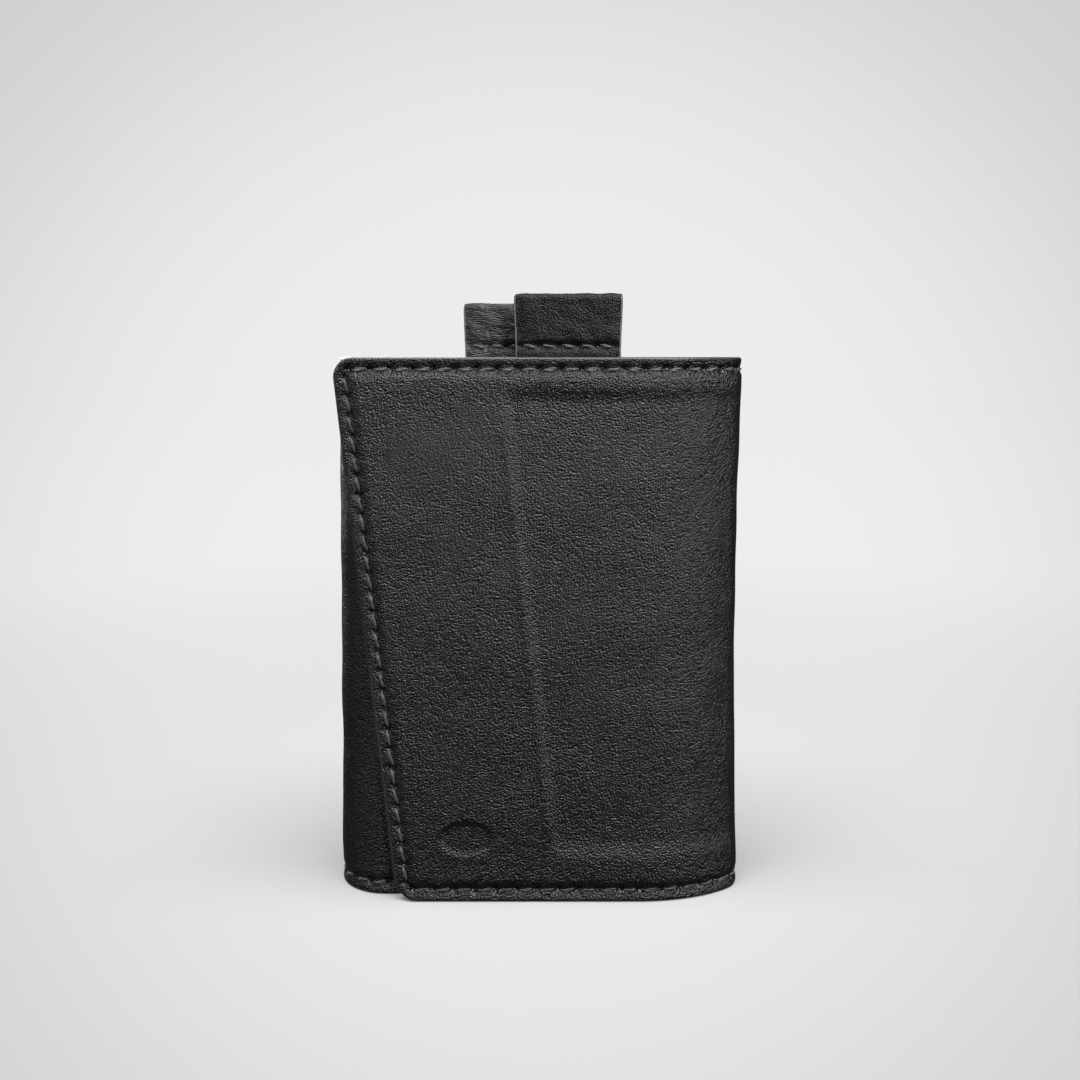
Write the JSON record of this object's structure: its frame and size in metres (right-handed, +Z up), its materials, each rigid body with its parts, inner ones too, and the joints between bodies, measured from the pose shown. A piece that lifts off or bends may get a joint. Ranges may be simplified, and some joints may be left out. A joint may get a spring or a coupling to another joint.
{
  "type": "card holder",
  "caption": "Folding leather card holder with a slanting front flap, a card block with compartments and pull-tab straps.",
  "frame": {"origin": "on the surface it stands on, midway across and midway through", "axes": "+X to the right seen from the front, -Y towards the front (the flap), +Z up"},
  "size_m": [0.0776, 0.0226, 0.1144],
  "materials": {
    "leather": "fine grain, satin",
    "lining": "smooth, matt",
    "board": "pressed fibre board",
    "ribbon": "woven ribbon",
    "thread": "twisted thread",
    "magnet": "nickel plated",
    "steel": "plain steel"
  },
  "bodies": {
    "back": {"board_back": "board", "cash_pocket_welt": "leather", "cover_back": "leather", "divider": "leather", "front_strap_anchor": "ribbon", "front_strap_anchor_thread": "thread", "front_strap_front_run": "ribbon", "gusset_front": "leather", "gusset_rear": "leather", "lining_back": "lining", "pocket_front_wall": "leather", "pocket_rear_wall": "leather", "rear_strap_anchor": "ribbon", "rear_strap_anchor_thread": "thread", "rear_strap_front_run": "ribbon", "thread_back": "thread"},
    "right_spine": {"cover_right_spine": "leather", "lining_right_spine": "lining"},
    "flap": {"board_flap": "board", "cover_flap": "leather", "edge_stay_bottom": "board", "edge_stay_top": "board", "lining_flap": "lining", "magnet_lower": "magnet", "magnet_upper": "magnet", "thread_flap": "thread"},
    "left_spine": {"cover_left_spine": "leather", "lining_left_spine": "lining"},
    "wing": {"board_wing": "board", "cover_wing": "leather", "keeper_lower": "steel", "keeper_upper": "steel", "lining_wing": "lining", "thread_wing": "thread"},
    "front_loop": {"front_strap_loop": "ribbon"},
    "front_tab": {"front_strap_rear_run": "ribbon", "front_strap_tab": "leather", "front_strap_tab_thread": "thread"},
    "rear_loop": {"rear_strap_loop": "ribbon"},
    "rear_tab": {"rear_strap_rear_run": "ribbon", "rear_strap_tab": "leather", "rear_strap_tab_thread": "thread"}
  },
  "joints": [
    {"name": "flap_opening", "type": "hinge", "parent": "back", "child": "right_spine", "pos_m": [0.0373, 0.00975, 0], "axis": [0, 0, 1], "range_deg": [0, 90]},
    {"name": "flap_fold", "type": "hinge", "parent": "right_spine", "child": "flap", "pos_m": [0.0356, -0.00805, 0], "axis": [0, 0, 1], "range_deg": [0, 90]},
    {"name": "left_spine_opening", "type": "hinge", "parent": "back", "child": "left_spine", "pos_m": [-0.0373, 0.00975, 0], "axis": [0, 0, -1], "range_deg": [0, 81]},
    {"name": "wing_fold", "type": "hinge", "parent": "left_spine", "child": "wing", "pos_m": [-0.03676, -0.00561, 0], "axis": [0, 0, -1], "range_deg": [0, 81]},
    {"name": "front_strap_pull", "type": "slide", "parent": "back", "child": "front_loop", "axis": [0, 0, 1], "range_m": [0, 0.02], "deforming": ["front_strap_front_run"]},
    {"name": "front_tab_rise", "type": "slide", "parent": "front_loop", "child": "front_tab", "axis": [0, 0, 1], "range_m": [0, 0.02], "deforming": ["front_strap_rear_run"]},
    {"name": "rear_strap_pull", "type": "slide", "parent": "back", "child": "rear_loop", "axis": [0, 0, 1], "range_m": [0, 0.02], "deforming": ["rear_strap_front_run"]},
    {"name": "rear_tab_rise", "type": "slide", "parent": "rear_loop", "child": "rear_tab", "axis": [0, 0, 1], "range_m": [0, 0.02], "deforming": ["rear_strap_rear_run"]}
  ],
  "couplings": [
    {"joint": "flap_fold", "follows": "flap_opening", "ratio": 1},
    {"joint": "left_spine_opening", "follows": "flap_opening", "ratio": 0.9},
    {"joint": "wing_fold", "follows": "flap_opening", "ratio": 0.9},
    {"joint": "front_tab_rise", "follows": "front_strap_pull", "ratio": 1},
    {"joint": "rear_tab_rise", "follows": "rear_strap_pull", "ratio": 1}
  ]
}
